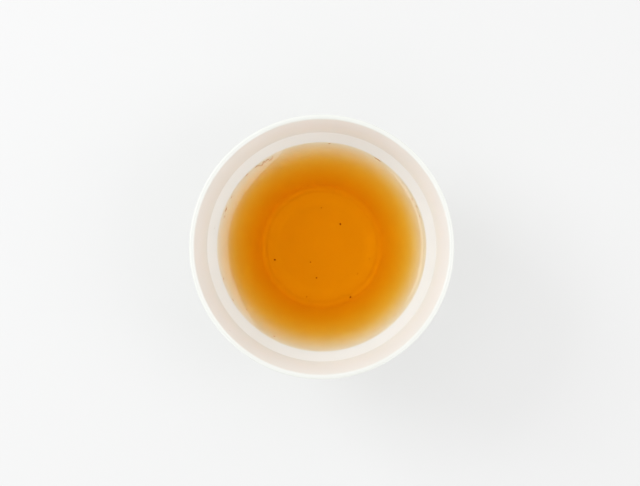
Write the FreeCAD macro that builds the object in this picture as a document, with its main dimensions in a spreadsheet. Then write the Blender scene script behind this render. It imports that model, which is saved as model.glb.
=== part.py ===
import FreeCAD, Part
import math
import os

import Sketcher

# A handle-less porcelain tea cup, turned about the Z axis, and the tea in it.
# The origin is the middle of the foot, on the table, with +Z up. Millimetres.

SIZES = [
    # name, value, what it sets
    ("rim_diameter", 84.0, "widest point of the lip"),
    ("cup_height", 40.0, "table to the top of the lip"),
    ("lip_thickness", 1.6, "diameter of the fully rounded lip"),
    ("collar_height", 12.0, "inside crease, where collar meets belly, to the top of the lip"),
    ("collar_spread", 5.0, "how far the widest point of the lip stands out beyond the crease"),
    ("inner_flare", 60.0, "radius of the collar's curve, inside"),
    ("outer_flare", 50.0, "radius of the collar's curve, outside"),
    ("shoulder_drop", 1.6, "how far the outside crease lies below the inside one"),
    ("belly_curve", 200.0, "radius of the belly's curve, inside"),
    ("belly_wall", 2.6, "thickness of the belly's wall"),
    ("foot_height", 3.2, "table to the flat underside of the bowl"),
    ("base_thickness", 3.3, "underside of the bowl to the raised middle of the floor"),
    ("belly_spread", 20.4, "how far the crease stands out beyond the raised middle of the floor"),
    ("moat_depth", 0.7, "how far the ring round the floor sinks below it"),
    ("moat_curve", 3.0, "radius of the hollow where floor turns into belly"),
    ("foot_spread", 4.4, "how far the foot ring's outside stands out beyond the raised middle"),
    ("foot_width", 2.6, "thickness of the foot ring, at the table"),
    ("foot_lean", 0.5, "how much the foot ring widens on each side, from the table to its root"),
    ("foot_bedding", 2.0, "how far the foot ring's root runs up into the base"),
    ("crease_round", 0.5, "rounding of the inside crease"),
    ("shoulder_round", 1.5, "rounding of the outside crease"),
    ("sole_round", 0.7, "rounding of the foot ring's standing edges"),
    ("foot_root_round", 0.8, "rounding where the foot ring leaves the base"),
    ("tea_drop", 6.5, "how far the tea's surface lies below the inside crease"),
]

# Places that several outlines share, as formulas of the sheet: how far across from the axis,
# and how far up from the table.
CREASE = ("dims.rim_diameter / 2 - dims.collar_spread", "dims.cup_height - dims.collar_height")
SHOULDER_UP = CREASE[1] + " - dims.shoulder_drop"
TEA_UP = CREASE[1] + " - dims.tea_drop"
LIP_MIDDLE = ("(dims.rim_diameter - dims.lip_thickness) / 2", "dims.cup_height - dims.lip_thickness / 2")
FLOOR_EDGE = (CREASE[0] + " - dims.belly_spread", "dims.foot_height + dims.base_thickness")
MOAT_MIDDLE_UP = FLOOR_EDGE[1] + " - dims.moat_depth + dims.moat_curve"
FOOT_OUTSIDE = FLOOR_EDGE[0] + " + dims.foot_spread"
FOOT_MIDDLE = FOOT_OUTSIDE + " - dims.foot_width / 2"
FOOT_INSIDE = FOOT_OUTSIDE + " - dims.foot_width"
FOOT_TOP = "dims.foot_height + dims.foot_bedding"


def make_sheet(doc):
    """The sheet of driving sizes, one aliased cell to a row."""
    sheet = doc.addObject("Spreadsheet::Sheet", "dims")
    for row, (name, value, note) in enumerate(SIZES, start=1):
        sheet.set(f"A{row}", name)
        sheet.set(f"B{row}", str(value))
        sheet.setAlias(f"B{row}", name)
        sheet.set(f"C{row}", note)
    doc.recompute()
    return sheet


def worked_out(size, *formulas):
    """The numbers that formulas of the sheet come to, as one number or a pair."""
    numbers = tuple(float(size.evalExpression(formula)) for formula in formulas)
    return numbers if len(numbers) > 1 else numbers[0]


# Sketch helpers. A profile lies in the XZ plane: across is the radius, up is the height.
# Curves are first drawn near their place, and the constraints then put them exactly there.


def new_profile(body, name):
    """An empty sketch on the body's own XZ plane."""
    plane = [f for f in body.Origin.OriginFeatures if f.Role == "XZ_Plane"][0]
    sketch = body.newObject("Sketcher::SketchObject", name)
    sketch.AttachmentSupport = [(plane, "")]
    sketch.MapMode = "FlatFace"
    return sketch


def line(sketch, start, end):
    return sketch.addGeometry(Part.LineSegment(FreeCAD.Vector(*start, 0), FreeCAD.Vector(*end, 0)))


def arc(sketch, start, end, radius, side):
    """An arc of that radius which stands out to one side, "left" or "right", on the way to end."""
    start = FreeCAD.Vector(*start, 0)
    end = FreeCAD.Vector(*end, 0)
    way = end - start
    across = FreeCAD.Vector(-way.y, way.x, 0).normalize()
    if side == "right":
        across = -across
    bulge = radius - math.sqrt(max(radius**2 - (way.Length / 2) ** 2, 0))
    return sketch.addGeometry(Part.Arc(start, (start + end) / 2 + across * bulge, end))


def tip_near(sketch, curve, spot):
    """Which end of the curve, 1 or 2, is nearer to the spot."""
    spot = FreeCAD.Vector(*spot, 0)
    return min((1, 2), key=lambda tip: sketch.getPoint(curve, tip).distanceToPoint(spot))


def touching_tips(sketch, first, second):
    """The pair of ends by which two neighbouring curves meet."""
    pairs = [(a, b) for a in (1, 2) for b in (1, 2)]
    return min(
        pairs,
        key=lambda p: sketch.getPoint(first, p[0]).distanceToPoint(sketch.getPoint(second, p[1])),
    )


def join(sketch, first, second, kind="Coincident"):
    """Joins two neighbouring curves end to end, at a corner or, with Tangent, smoothly."""
    tip_a, tip_b = touching_tips(sketch, first, second)
    sketch.addConstraint(Sketcher.Constraint(kind, first, tip_a, second, tip_b))


def place(sketch, curve, tip, across=None, up=None):
    """Sets how far a point is from the axis and from the table, as formulas of the sheet."""
    spot = sketch.getPoint(curve, tip)
    for kind, value, formula in (("DistanceX", spot.x, across), ("DistanceY", spot.y, up)):
        if formula is not None:
            number = sketch.addConstraint(Sketcher.Constraint(kind, -1, 1, curve, tip, value))
            sketch.setExpression(f"Constraints[{number}]", formula)


def set_radius(sketch, curve, formula):
    value = sketch.Geometry[curve].Radius
    number = sketch.addConstraint(Sketcher.Constraint("Radius", curve, value))
    sketch.setExpression(f"Constraints[{number}]", formula)


def on_axis(sketch, curve, tip):
    sketch.addConstraint(Sketcher.Constraint("PointOnObject", curve, tip, -2))


# The hollow of the cup, which both pieces share: floor, moat and belly.


def belly_start(size, depth=0):
    """Near where the belly leaves the moat, that deep in the wall, and its lean from level there."""
    reach = math.sqrt(2 * size.moat_curve * size.moat_depth - size.moat_depth**2)
    middle = FreeCAD.Vector(*worked_out(size, FLOOR_EDGE[0], MOAT_MIDDLE_UP), 0)
    middle.x += reach
    way = FreeCAD.Vector(*worked_out(size, *CREASE), 0) - middle
    lean = math.atan2(way.y, way.x) + math.asin(size.moat_curve / way.Length)
    lean -= way.Length / size.belly_curve / 2
    spot = middle + FreeCAD.Vector(math.sin(lean), -math.cos(lean), 0) * (size.moat_curve + depth)
    return (spot.x, spot.y), lean


def draw_hollow(sketch, size, top):
    """Floor, moat and belly, from the axis out. The belly ends at top, near (across, up)."""
    floor_edge = worked_out(size, *FLOOR_EDGE)
    moat_end = belly_start(size)[0]
    floor = line(sketch, (0, floor_edge[1]), floor_edge)
    moat = arc(sketch, floor_edge, moat_end, size.moat_curve, "right")
    belly = arc(sketch, moat_end, top, size.belly_curve, "right")
    join(sketch, floor, moat)
    join(sketch, moat, belly, "Tangent")
    on_axis(sketch, floor, 1)
    place(sketch, floor, 1, up=FLOOR_EDGE[1])
    place(sketch, floor, 2, *FLOOR_EDGE)
    place(sketch, moat, 3, up=MOAT_MIDDLE_UP)
    set_radius(sketch, moat, "dims.moat_curve")
    set_radius(sketch, belly, "dims.belly_curve")
    return floor, belly


def draw_bowl(sketch, size):
    """The wall's section without the foot: up the inside, over the lip and down the outside."""
    crease = worked_out(size, *CREASE)
    shoulder = (crease[0] + size.belly_wall, worked_out(size, SHOULDER_UP))
    lip_across, lip_up = worked_out(size, *LIP_MIDDLE)
    lip = size.lip_thickness / 2
    lip_inside = (lip_across - lip, lip_up)
    lip_outside = (lip_across + lip, lip_up)
    floor_middle = (0, worked_out(size, FLOOR_EDGE[1]))
    base_middle = (0, size.foot_height)
    base_edge = worked_out(size, FOOT_MIDDLE, "dims.foot_height")
    (belly_across, belly_up), lean = belly_start(size, size.belly_wall)
    # where the belly's outside would meet the level of the underside, if it ran on straight
    corner = belly_across - (belly_up - base_edge[1]) / math.tan(lean)
    cut_back = corner - base_edge[0]
    base_turn = (corner + cut_back * math.cos(lean), base_edge[1] + cut_back * math.sin(lean))

    floor, belly = draw_hollow(sketch, size, crease)
    collar = arc(sketch, crease, lip_inside, size.inner_flare, "left")
    bead = arc(sketch, lip_inside, lip_outside, lip, "left")
    outer_collar = arc(sketch, lip_outside, shoulder, size.outer_flare, "right")
    outer_belly = arc(sketch, shoulder, base_turn, size.belly_curve + size.belly_wall, "left")
    turn_under = arc(sketch, base_turn, base_edge, cut_back / math.tan(lean / 2), "left")
    base = line(sketch, base_edge, base_middle)
    axis = line(sketch, base_middle, floor_middle)

    join(sketch, belly, collar)
    join(sketch, collar, bead, "Tangent")
    join(sketch, bead, outer_collar, "Tangent")
    join(sketch, outer_collar, outer_belly)
    join(sketch, outer_belly, turn_under, "Tangent")
    join(sketch, turn_under, base, "Tangent")
    join(sketch, base, axis)
    join(sketch, axis, floor)
    on_axis(sketch, base, 2)

    place(sketch, collar, tip_near(sketch, collar, crease), *CREASE)
    set_radius(sketch, collar, "dims.inner_flare")
    place(sketch, bead, 3, *LIP_MIDDLE)
    set_radius(sketch, bead, "dims.lip_thickness / 2")
    set_radius(sketch, outer_collar, "dims.outer_flare")
    sketch.addConstraint(Sketcher.Constraint("Coincident", belly, 3, outer_belly, 3))
    set_radius(sketch, outer_belly, "dims.belly_curve + dims.belly_wall")
    place(sketch, outer_belly, tip_near(sketch, outer_belly, shoulder), up=SHOULDER_UP)
    place(sketch, base, 1, FOOT_MIDDLE, "dims.foot_height")
    place(sketch, base, 2, up="dims.foot_height")


def draw_foot(sketch, size):
    """The foot ring's section: it widens from the sole up to its root inside the base."""
    outside, inside, top = worked_out(size, FOOT_OUTSIDE, FOOT_INSIDE, FOOT_TOP)
    corners = [
        (outside, 0),
        (outside + size.foot_lean, top),
        (inside - size.foot_lean, top),
        (inside, 0),
    ]
    sides = [line(sketch, start, end) for start, end in zip(corners, corners[1:] + corners[:1])]
    for side, following in zip(sides, sides[1:] + sides[:1]):
        join(sketch, side, following)
    place(sketch, sides[0], 1, FOOT_OUTSIDE, "0")
    place(sketch, sides[1], 1, FOOT_OUTSIDE + " + dims.foot_lean", FOOT_TOP)
    place(sketch, sides[2], 1, FOOT_INSIDE + " - dims.foot_lean", FOOT_TOP)
    place(sketch, sides[3], 1, FOOT_INSIDE, "0")


def draw_tea(sketch, size):
    """The same hollow, closed by a flat surface at the tea's level."""
    crease = worked_out(size, *CREASE)
    level = worked_out(size, TEA_UP)
    edge = (crease[0] - size.tea_drop / 2, level)

    floor, belly = draw_hollow(sketch, size, edge)
    surface = line(sketch, edge, (0, level))
    axis = line(sketch, (0, level), (0, worked_out(size, FLOOR_EDGE[1])))
    join(sketch, belly, surface)
    join(sketch, surface, axis)
    join(sketch, axis, floor)
    on_axis(sketch, surface, 2)
    place(sketch, surface, 1, up=TEA_UP)
    place(sketch, surface, 2, up=TEA_UP)
    mark = sketch.addGeometry(Part.Point(FreeCAD.Vector(*crease, 0)), True)
    place(sketch, mark, 1, *CREASE)
    sketch.addConstraint(Sketcher.Constraint("PointOnObject", mark, 1, belly))


def turn(body, sketch, name):
    """One full turn of the profile about the Z axis."""
    solid = body.newObject("PartDesign::Revolution", name)
    solid.Profile = sketch
    solid.ReferenceAxis = (sketch, ["V_Axis"])
    solid.Angle = 360
    return solid


def ring_edge(feature, spot):
    """The name of the feature's ring-shaped edge nearest to the spot (across, up)."""
    offs = {}
    for number, edge in enumerate(feature.Shape.Edges, start=1):
        if isinstance(edge.Curve, Part.Circle):
            across = edge.Curve.Radius - spot[0]
            up = edge.Curve.Center.z - spot[1]
            offs[f"Edge{number}"] = math.hypot(across, up)
    return min(offs, key=offs.get)


def round_rings(body, base, name, spots, radius):
    """Rounds the ring-shaped edges nearest to the given spots of the base feature."""
    fillet = body.newObject("PartDesign::Fillet", name)
    fillet.Base = (base, [ring_edge(base, spot) for spot in spots])
    fillet.setExpression("Radius", radius)
    body.Document.recompute()
    return fillet


def make_cup(doc, size):
    """Cup: one turned piece of porcelain, with its creases and foot ring softened."""
    body = doc.addObject("PartDesign::Body", "CupBody")
    body.Label = "cup"
    bowl = new_profile(body, "BowlSection")
    draw_bowl(bowl, size)
    doc.recompute()
    turn(body, bowl, "BowlTurned")
    foot = new_profile(body, "FootSection")
    draw_foot(foot, size)
    doc.recompute()
    turned = turn(body, foot, "FootTurned")
    doc.recompute()

    outside, inside = worked_out(size, FOOT_OUTSIDE, FOOT_INSIDE)
    crease = worked_out(size, *CREASE)
    shoulder = (crease[0] + size.belly_wall, worked_out(size, SHOULDER_UP))
    sole = [(outside, 0), (inside, 0)]
    roots = [(outside + size.foot_lean, size.foot_height), (inside - size.foot_lean, size.foot_height)]
    last = round_rings(body, turned, "CreaseRound", [crease], "dims.crease_round")
    last = round_rings(body, last, "ShoulderRound", [shoulder], "dims.shoulder_round")
    last = round_rings(body, last, "SoleRound", sole, "dims.sole_round")
    round_rings(body, last, "FootRootRound", roots, "dims.foot_root_round")
    body.Placement = FreeCAD.Placement()
    return body


def make_tea(doc, size):
    """Tea: fills the hollow from the floor up to its level, face to face with the cup."""
    body = doc.addObject("PartDesign::Body", "TeaBody")
    body.Label = "tea"
    sketch = new_profile(body, "TeaSection")
    draw_tea(sketch, size)
    doc.recompute()
    turn(body, sketch, "TeaTurned")
    body.Placement = FreeCAD.Placement()
    return body


def check(doc, bodies):
    """Stops if any object failed, or a piece isn't one sound solid."""
    for item in doc.Objects:
        if {"Invalid", "Error"} & set(item.State):
            raise RuntimeError(f"{item.Label} failed: {item.State}")
    for body in bodies:
        shape = body.Shape
        if shape.isNull() or not shape.isValid() or len(shape.Solids) != 1:
            raise RuntimeError(f"{body.Label} isn't one valid solid")


def main():
    doc = FreeCAD.newDocument("TeaCup")
    size = make_sheet(doc)
    bodies = [make_cup(doc, size), make_tea(doc, size)]
    doc.recompute()
    check(doc, bodies)
    os.makedirs("parts", exist_ok=True)
    for body in bodies:
        body.Shape.exportStep(f"parts/{body.Label}.step")
        print(body.Label, "volume", round(body.Shape.Volume / 1000, 2), "cm3")


main()
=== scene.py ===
import math
import random
from functools import partial

import bmesh
import bpy
from mathutils import Matrix, Vector, noise
from mathutils.bvhtree import BVHTree


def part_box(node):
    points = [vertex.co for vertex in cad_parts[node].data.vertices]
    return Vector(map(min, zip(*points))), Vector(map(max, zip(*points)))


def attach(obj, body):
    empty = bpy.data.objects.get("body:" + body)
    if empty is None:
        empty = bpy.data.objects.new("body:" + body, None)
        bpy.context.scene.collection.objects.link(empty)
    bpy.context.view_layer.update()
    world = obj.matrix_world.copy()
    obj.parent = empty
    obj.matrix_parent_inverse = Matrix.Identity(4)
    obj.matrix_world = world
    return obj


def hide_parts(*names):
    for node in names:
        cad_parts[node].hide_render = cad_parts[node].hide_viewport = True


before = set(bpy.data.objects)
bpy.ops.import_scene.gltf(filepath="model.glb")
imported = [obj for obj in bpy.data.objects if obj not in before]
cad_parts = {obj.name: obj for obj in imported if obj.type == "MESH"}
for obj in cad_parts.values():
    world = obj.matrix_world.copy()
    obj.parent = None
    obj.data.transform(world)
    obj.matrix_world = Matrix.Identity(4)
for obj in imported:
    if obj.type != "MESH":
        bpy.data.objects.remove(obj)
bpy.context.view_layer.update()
MM = 0.001


# ---------------------------------------------------------------------------
# The cup
# A handle-less tea cup of hard white porcelain, jiggered on a wheel: floor with a shallow moat,
# steep belly, a crease, and an upright collar that flares to a round lip. It is dipped in a clear
# glaze and fired standing on its foot ring, whose sole is wiped clean and stays bare and matt.

cup_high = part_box("cup")[1]
rim = cup_high.x
top = cup_high.z

lip_round = 0.8 * MM
crease = Vector((rim - 5 * MM, top - 12 * MM))
floor_edge = Vector((crease.x - 20.4 * MM, 6.5 * MM))
foot_out = floor_edge.x + 4.4 * MM
foot_in = foot_out - 2.6 * MM
foot_round = 0.8 * MM
sole_round = 0.7 * MM
base = 3.2 * MM
moat_across, moat_up = 19.45 * MM, 5.3 * MM
belly_across, belly_up = 20.78 * MM, 6.82 * MM


def bow(start, end, radius):
    """The corner that an arc of that radius rounds off on its way; a minus bows it to the left.

    The outline rounds it a little tighter, so that the arc stays clear of its neighbours.
    """
    way = end - start
    right = Vector((way.y, -way.x)).normalized() * math.copysign(1, radius)
    turn = math.asin(way.length / 2 / abs(radius))
    return (start + end) / 2 + right * abs(radius) * (1 / math.cos(turn) - math.cos(turn))


def outline(corners):
    """An open outline in the XZ plane through corners of (across, up, rounding, arc steps)."""
    bm = bmesh.new()
    points = [bm.verts.new((across, 0, up)) for across, up, *_ in corners]
    for point, following in zip(points, points[1:]):
        bm.edges.new((point, following))
    for point, (_, _, radius, steps) in zip(points, corners):
        if radius:
            sides = [edge.other_vert(point).co - point.co for edge in point.link_edges]
            turn = math.pi - sides[0].angle(sides[1])
            bmesh.ops.bevel(bm, geom=[point], offset=radius * math.tan(turn / 2), affect="VERTICES",
                            offset_type="OFFSET", segments=steps, profile=0.5, material=-1)
    return bm


def turned(bm, name, steps, material):
    """Turns the outline once about the Z axis into a closed piece, smooth but for its sharp edges."""
    bmesh.ops.spin(bm, geom=bm.verts[:] + bm.edges[:], cent=(0, 0, 0), axis=(0, 0, 1),
                   angle=math.tau, steps=steps, use_merge=True)
    bmesh.ops.remove_doubles(bm, verts=bm.verts, dist=0.001 * MM)
    bmesh.ops.recalc_face_normals(bm, faces=bm.faces)
    for edge in bm.edges:
        edge.smooth = edge.calc_face_angle(0) < math.radians(50)
    return finished(bm, name, material)


def finished(bm, name, material):
    """Makes the mesh a smooth-shaded piece with its material."""
    mesh = bpy.data.meshes.new(name)
    bm.to_mesh(mesh)
    bm.free()
    mesh.shade_smooth()
    mesh.materials.append(material)
    piece = bpy.data.objects.new(name, mesh)
    bpy.context.collection.objects.link(piece)
    return piece


def material_nodes(name):
    """A new material's nodes and links, with its Principled shader and Object coordinates."""
    material = bpy.data.materials.new(name)
    material.use_nodes = True
    nodes, links = material.node_tree.nodes, material.node_tree.links
    place = nodes.new("ShaderNodeTexCoord").outputs["Object"]
    return material, nodes, links, nodes["Principled BSDF"], place


def clouded(nodes, links, shader, place, scale, dark, light, detail=2, spread=(0, 1)):
    """A base colour that wanders between two shades; a smaller spread makes the change sharper."""
    clouds = nodes.new("ShaderNodeTexNoise")
    clouds.inputs["Scale"].default_value = scale
    clouds.inputs["Detail"].default_value = detail
    links.new(place, clouds.inputs["Vector"])
    shade = nodes.new("ShaderNodeValToRGB")
    for stop, position, colour in zip(shade.color_ramp.elements, spread, (dark, light)):
        stop.position = position
        stop.color = (*colour, 1)
    links.new(clouds.outputs["Fac"], shade.inputs["Fac"])
    links.new(shade.outputs["Color"], shader.inputs["Base Color"])


def rippled(nodes, links, shader, place, scale, strength, depth):
    """Faint ripples that only bend the reflections."""
    ripple = nodes.new("ShaderNodeTexNoise")
    ripple.inputs["Scale"].default_value = scale
    links.new(place, ripple.inputs["Vector"])
    bump = nodes.new("ShaderNodeBump")
    bump.inputs["Strength"].default_value = strength
    bump.inputs["Distance"].default_value = depth
    links.new(ripple.outputs["Fac"], bump.inputs["Height"])
    links.new(bump.outputs["Normal"], shader.inputs["Normal"])


def hollow(sunk):
    """Corners of the cup's hollow, sunk that far into the wall: floor, moat and belly."""
    floor = floor_edge.y - sunk
    edge = Vector((floor_edge.x - 2 * MM, floor))
    moat = Vector((moat_across + sunk / 2, moat_up - sunk))
    belly_start = Vector((belly_across + sunk, belly_up - sunk / 2))
    belly = bow(belly_start, crease + Vector((sunk, 0)), 200 * MM)
    return [(0, floor, 0, 0), (*edge, 10 * MM, 8), (*moat, 2.9 * MM, 16), (*belly, 197 * MM, 24)]


def porcelain_material():
    """Clear glaze over faintly clouded white clay, matt where the sole is wiped clean."""
    material, nodes, links, shader, place = material_nodes("glazed_porcelain")
    shader.inputs["IOR"].default_value = 1.5
    height = nodes.new("ShaderNodeSeparateXYZ")
    links.new(place, height.inputs["Vector"])
    glaze = nodes.new("ShaderNodeMapRange")
    glaze.inputs["From Min"].default_value = 0.2 * MM
    glaze.inputs["From Max"].default_value = 0.4 * MM
    glaze.inputs["To Min"].default_value = 0.75
    glaze.inputs["To Max"].default_value = 0.09
    links.new(height.outputs["Z"], glaze.inputs["Value"])
    links.new(glaze.outputs["Result"], shader.inputs["Roughness"])
    clouded(nodes, links, shader, place, 90, (0.825, 0.838, 0.772), (0.85, 0.864, 0.803),
            detail=3, spread=(0.3, 0.75))
    rippled(nodes, links, shader, place, 160, 0.12, 0.05 * MM)
    return material


lip_in = Vector((rim - 1.54 * MM, top - 0.494 * MM))
lip_out = Vector((rim - 0.05 * MM, top - 1.077 * MM))
shoulder = Vector((crease.x + 2.06 * MM, crease.y - 1.6 * MM))
collar = bow(crease, lip_in, -60 * MM)
outer_collar = bow(lip_out, shoulder, 50 * MM)
outer_belly = bow(shoulder, Vector((21.94 * MM, 4.21 * MM)), -202.6 * MM)
under = Vector((21.67 * MM, 3.90 * MM))

cup = turned(
    outline([
        *hollow(0),
        (*crease, 0.5 * MM, 4),
        (*collar, 58.5 * MM, 16),
        (rim - 1.334 * MM, top, lip_round, 8),
        (rim + 0.348 * MM, top, lip_round, 10),
        (*outer_collar, 48 * MM, 16),
        (*shoulder, 1.5 * MM, 6),
        (*outer_belly, 198 * MM, 24),
        (*under, 2.2 * MM, 10),
        (21.32 * MM, 3.67 * MM, foot_round, 5),
        (foot_out, 0, sole_round, 6),
        (foot_in, 0, sole_round, 6),
        (foot_in - 0.31 * MM, base, foot_round, 5),
        (0, base, 0, 0),
    ]),
    "porcelain_cup", 192, porcelain_material())
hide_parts("cup")
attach(cup, "root")


# ---------------------------------------------------------------------------
# The tea
# Clear amber black tea, poured to a little below the crease. It climbs the porcelain in a thin
# curved edge. It reaches a hair into the wall, so that no air shows between them.

tea_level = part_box("tea")[1].z
tea_sunk = 0.1 * MM
edge_rise = 2.5 * MM
edge_fade = 2.7 * MM
edge_steps = 36


def tea_material():
    """Clear water that takes out all the blue and some of the green."""
    material, nodes, links, shader, place = material_nodes("black_tea")
    shader.inputs["Base Color"].default_value = (1.0, 0.83, 0.6, 1)
    shader.inputs["Roughness"].default_value = 0
    shader.inputs["IOR"].default_value = 1.333
    shader.inputs["Transmission Weight"].default_value = 1
    amber = nodes.new("ShaderNodeVolumeAbsorption")
    amber.inputs["Color"].default_value = (0.991, 0.822, 0.0, 1)
    amber.inputs["Density"].default_value = 200
    links.new(amber.outputs["Volume"], nodes["Material Output"].inputs["Volume"])
    rippled(nodes, links, shader, place, 60, 0.3, 0.01 * MM)
    return material


def tea_outline():
    """The hollow, cut off where the tea ends, and its surface back to the middle."""
    bm = outline([*hollow(tea_sunk), (crease.x + tea_sunk, crease.y, 0, 0)])
    cut = bmesh.ops.bisect_plane(bm, geom=bm.verts[:] + bm.edges[:], clear_outer=True,
                                 plane_co=(0, 0, tea_level + edge_rise), plane_no=(0, 0, 1))
    last = [item for item in cut["geom_cut"] if isinstance(item, bmesh.types.BMVert)][0]
    reach = last.co.x
    for step in range(1, edge_steps + 1):
        away = 8 * edge_fade * (step / edge_steps) ** 1.6
        climb = edge_rise * math.exp(-away / edge_fade)
        point = bm.verts.new((reach - away, 0, tea_level + climb))
        bm.edges.new((last, point))
        last = point
    bm.edges.new((last, bm.verts.new((0, 0, tea_level))))
    return bm


tea = turned(tea_outline(), "black_tea", 192, tea_material())
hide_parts("tea")
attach(tea, "root")


# ---------------------------------------------------------------------------
# Tea dust
# Fine broken bits of tea leaf that slipped through the strainer. They are dark brown, soaked and
# sunk, and lie loose on the floor of the cup under the tea.

chance = random.Random(7)


def surface_of(piece):
    """A tree of the piece's faces, on which small things are laid."""
    mesh = piece.data
    return BVHTree.FromPolygons([point.co for point in mesh.vertices],
                                [face.vertices[:] for face in mesh.polygons])


def laid_on(surface, across, along):
    """Where a thing dropped from above the lip comes to lie, and which way is up there."""
    spot, normal, _, _ = surface.ray_cast(Vector((across, along, 2 * top)), Vector((0, 0, -1)))
    return spot, normal


def add_flake(bm, spot, normal, radius, thickness, roundness=1):
    """One uneven flake, pressed flat against the surface that it lies on."""
    flake = bmesh.ops.create_icosphere(bm, subdivisions=roundness, radius=1)["verts"]
    turn = Matrix.Rotation(chance.uniform(0, math.tau), 3, "Z")
    stretch = chance.uniform(0.75, 1.0)
    lean = normal.to_track_quat("Z", "Y").to_matrix()
    for point in flake:
        uneven = 1 + 0.35 * noise.noise(point.co * 1.6 + spot * 5000)
        flat = turn @ Vector((point.co.x * uneven, point.co.y * uneven * stretch, 0)) * radius
        flat.z = point.co.z * uneven * thickness / 2
        point.co = spot + lean @ flat


def leaf_material():
    """Soaked leaf, nearly black in places."""
    material, nodes, links, shader, place = material_nodes("soaked_leaf")
    shader.inputs["Roughness"].default_value = 0.6
    clouded(nodes, links, shader, place, 4000, (0.035, 0.012, 0.004), (0.12, 0.05, 0.015))
    return material


grain_thickness = 0.3 * MM
cup_surface = surface_of(cup)
dust = bmesh.new()
for across, along, radius in (
        (6.2, 7.5, 0.34), (-15.5, -4.3, 0.32), (9.6, -16.8, 0.33), (-3.7, -5.1, 0.2), (-1.7, -10.3, 0.24),
        (-5.0, -16.6, 0.2), (11.9, -9.0, 0.17), (15.9, -3.9, 0.17), (-0.1, 12.9, 0.17), (-9.4, 3.1, 0.12),
        (3.9, -2.6, 0.1), (-7.1, 11.2, 0.12), (13.2, 6.0, 0.11)):
    spot, normal = laid_on(cup_surface, across * MM, along * MM)
    add_flake(dust, spot + normal * 0.2 * MM, normal, radius * MM, grain_thickness, roundness=2)
leaf_dust = finished(dust, "leaf_dust", leaf_material())
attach(leaf_dust, "root")


# ---------------------------------------------------------------------------
# Tea film
# The skin that strong tea forms as it cools has caught on the porcelain along the edge of the
# tea. It is a thin, jagged, orange-brown line at the upper left and short traces elsewhere.

film_pitch = 0.1 * MM
film_thickness = 0.08 * MM
film_strokes = (
    ((-15.9, 29.35), (-16.2, 28.7), (-16.9, 28.05), (-17.5, 28.5), (-18.0, 28.05), (-18.35, 27.45),
     (-18.85, 27.75), (-19.05, 27.1), (-19.5, 26.35), (-20.25, 26.45), (-20.9, 26.35), (-21.6, 25.7)),
    ((-24.1, 23.6), (-24.5, 23.05)),
    ((-29.2, 16.3), (-29.4, 15.8)),
    ((-30.8, 12.8), (-31.0, 12.3), (-31.3, 11.4)),
    ((-31.5, 10.1), (-31.7, 9.4)),
    ((2.2, 33.6), (2.9, 33.55)),
    ((17.2, 28.95), (18.0, 28.5), (18.4, 28.3), (19.1, 27.75)),
    ((29.4, 15.7), (29.6, 15.2)),
    ((30.8, 13.3), (31.0, 12.8)),
    ((31.8, 10.1), (31.9, 9.5)),
    ((-31.9, -10.1), (-31.85, -10.6)),
    ((-28.9, -17.1), (-28.65, -17.55)),
    ((-24.5, -20.4), (-24.3, -20.6)),
    ((-15.6, -29.05), (-15.1, -29.3)),
)


def film_material():
    """A satin skin in blotches of orange-brown."""
    material, nodes, links, shader, place = material_nodes("dried_tea_film")
    shader.inputs["Roughness"].default_value = 0.35
    clouded(nodes, links, shader, place, 1500, (0.42, 0.13, 0.02), (0.62, 0.24, 0.05))
    return material


tea_surface = surface_of(tea)
film = bmesh.new()
for stroke in film_strokes:
    corners = [Vector(corner) * MM for corner in stroke]
    for start, end in zip(corners, corners[1:]):
        flakes = max(2, round((end - start).length / film_pitch))
        for step in range(flakes):
            spot, normal = laid_on(tea_surface, *start.lerp(end, step / flakes))
            add_flake(film, spot, normal, chance.uniform(0.09, 0.15) * MM, film_thickness)
tea_film = finished(film, "tea_film", film_material())
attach(tea_film, "root")


# ---------------------------------------------------------------------------
# Iron specks
# Two pin-prick specks of iron from the clay, which came up through the glaze on the inside of
# the cup as it was fired.

def speck_material():
    """Iron that has bled a little into the glaze over it."""
    material, nodes, links, shader, place = material_nodes("iron_speck")
    shader.inputs["Roughness"].default_value = 0.2
    clouded(nodes, links, shader, place, 3000, (0.25, 0.18, 0.12), (0.45, 0.36, 0.27))
    return material


speck_thickness = 0.04 * MM
specks = bmesh.new()
for across, along, radius in ((-34.7, 6.0, 0.13), (-29.2, -26.7, 0.15)):
    spot, normal = laid_on(cup_surface, across * MM, along * MM)
    add_flake(specks, spot, normal, radius * MM, speck_thickness, roundness=2)
iron_specks = finished(specks, "iron_specks", speck_material())
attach(iron_specks, "root")


# ---------------------------------------------------------------------------
# The set
# A pale matt table, a large soft light high on the left and a smaller one on the right, in an even
# room. A panel and a curtain of light show only as reflections. The camera is straight above.

def table_top():
    bm = bmesh.new()
    bmesh.ops.create_circle(bm, cap_ends=True, segments=64, radius=4)
    material, _, _, shader, _ = material_nodes("table_paint")
    shader.inputs["Base Color"].default_value = (0.82, 0.82, 0.818, 1)
    shader.inputs["Roughness"].default_value = 0.9
    shader.inputs["Specular IOR Level"].default_value = 0.0
    return finished(bm, "table_top", material)


table_top()


def soft_light(name, place, width, height, power, colour=(1, 1, 1)):
    """A soft light that faces the cup."""
    light = bpy.data.lights.new(name, "AREA")
    light.shape = "RECTANGLE"
    light.size, light.size_y = width, height
    light.energy = power
    light.color = colour
    lamp = bpy.data.objects.new(name, light)
    lamp.location = place
    lamp.rotation_mode = "QUATERNION"
    lamp.rotation_quaternion = (-Vector(place)).to_track_quat("-Z", "Y")
    lamp.visible_camera = False
    lamp.visible_glossy = False
    bpy.context.collection.objects.link(lamp)


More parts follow.
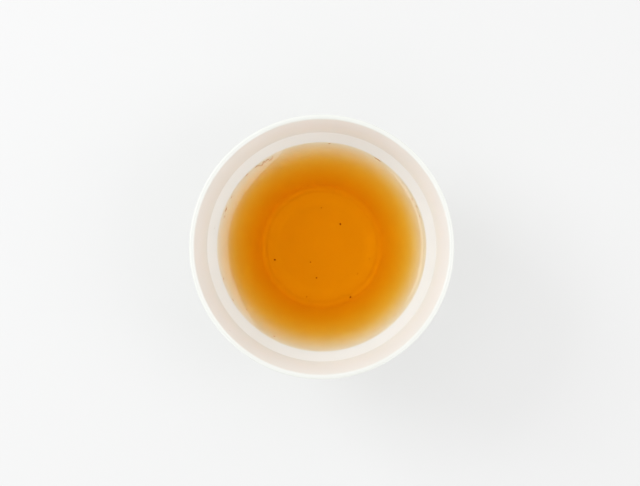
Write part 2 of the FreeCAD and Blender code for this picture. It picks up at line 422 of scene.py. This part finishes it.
def mirrored_panel(name, across, along, up, radiance):
    """A level panel that only shows as a reflection in glaze and tea."""
    light = bpy.data.lights.new(name, "AREA")
    light.shape = "RECTANGLE"
    light.size, light.size_y = across[1] - across[0], along[1] - along[0]
    light.energy = radiance * math.pi * light.size * light.size_y
    panel = bpy.data.objects.new(name, light)
    panel.location = (sum(across) / 2, sum(along) / 2, up)
    panel.visible_camera = False
    panel.visible_diffuse = False
    panel.visible_transmission = False
    bpy.context.collection.objects.link(panel)


soft_light("key_light", (-0.73, 0.42, 0.48), 0.5, 0.5, 3.25, colour=(0.95, 0.985, 1.0))
soft_light("fill_light", (0.75, -0.05, 0.75), 0.5, 0.6, 1.0)
mirrored_panel("left_panel", (-1.6, -0.97), (-1.2, 0.7), 1.0, 4.5)

# the curtain's top is in degrees off the vertical; each end is (share of X, share of Y, least reach)
curtain_top = 23.3
curtain_ends = ((0.93, -0.38, 0.29), (0.99, 0.12, 0.25))
curtain_light = 3.1
room_light = 1.03
through_tea_light = 0.42


def math_node(nodes, links, operation, first, second):
    """One step of arithmetic on numbers or sockets."""
    node = nodes.new("ShaderNodeMath")
    node.operation = operation
    for socket, value in zip(node.inputs, (first, second)):
        if isinstance(value, bpy.types.NodeSocket):
            links.new(value, socket)
        else:
            socket.default_value = value
    return node.outputs[0]


def room_glow(nodes):
    """Grey all round, brightest part way up, and dark right overhead."""
    glow = nodes.new("ShaderNodeValToRGB")
    glow.color_ramp.elements[0].color = (0.70, 0.70, 0.70, 1)
    glow.color_ramp.elements[1].color = (0.01, 0.01, 0.01, 1)
    for off_vertical, grey in ((50, 0.95), (28, 1.0), (18, 0.6), (8, 0.02)):
        stop = glow.color_ramp.elements.new(math.cos(math.radians(off_vertical)))
        stop.color = (grey, grey, grey, 1)
    return glow


def room():
    """Soft light from all round, with a curtain on the right that shows only as a reflection."""
    world = bpy.data.worlds.new("room")
    world.use_nodes = True
    nodes, links = world.node_tree.nodes, world.node_tree.links
    direction = nodes.new("ShaderNodeSeparateXYZ")
    links.new(nodes.new("ShaderNodeTexCoord").outputs["Generated"], direction.inputs["Vector"])
    glow = room_glow(nodes)
    links.new(direction.outputs["Z"], glow.inputs["Fac"])
    links.new(glow.outputs["Color"], nodes["Background"].inputs["Color"])

    work_out = partial(math_node, nodes, links)
    curtain = work_out("LESS_THAN", direction.outputs["Z"], math.cos(math.radians(curtain_top)))
    for across, along, start in curtain_ends:
        reach = work_out("ADD", work_out("MULTIPLY", direction.outputs["X"], across),
                         work_out("MULTIPLY", direction.outputs["Y"], along))
        curtain = work_out("MULTIPLY", curtain, work_out("GREATER_THAN", reach, start))
    ray = nodes.new("ShaderNodeLightPath").outputs
    not_through = work_out("LESS_THAN", ray["Is Transmission Ray"], 0.5)
    curtain = work_out("MULTIPLY", curtain, work_out("MULTIPLY", ray["Is Glossy Ray"], not_through))
    # the room is made brighter through the tea than elsewhere, which no real room is
    through_tea = work_out("MULTIPLY", ray["Is Transmission Ray"], through_tea_light)
    strength = work_out("ADD", work_out("MULTIPLY", curtain, curtain_light),
                        work_out("ADD", through_tea, room_light))
    links.new(strength, nodes["Background"].inputs["Strength"])
    return world


bpy.context.scene.world = room()

settings = bpy.context.scene.view_settings
settings.view_transform = "Standard"
settings.use_curve_mapping = True
for light_in, light_out in ((0.25, 0.349), (0.5, 0.622), (0.75, 0.834)):
    settings.curve_mapping.curves[3].points.new(light_in, light_out)
settings.curve_mapping.update()

camera = bpy.data.cameras.new("camera")
camera.sensor_width = 36
camera.lens = 110.1
eye = bpy.data.objects.new("camera", camera)
eye.location = (-0.54 * MM, 1.24 * MM, top + 620 * MM)
bpy.context.collection.objects.link(eye)
bpy.context.scene.camera = eye
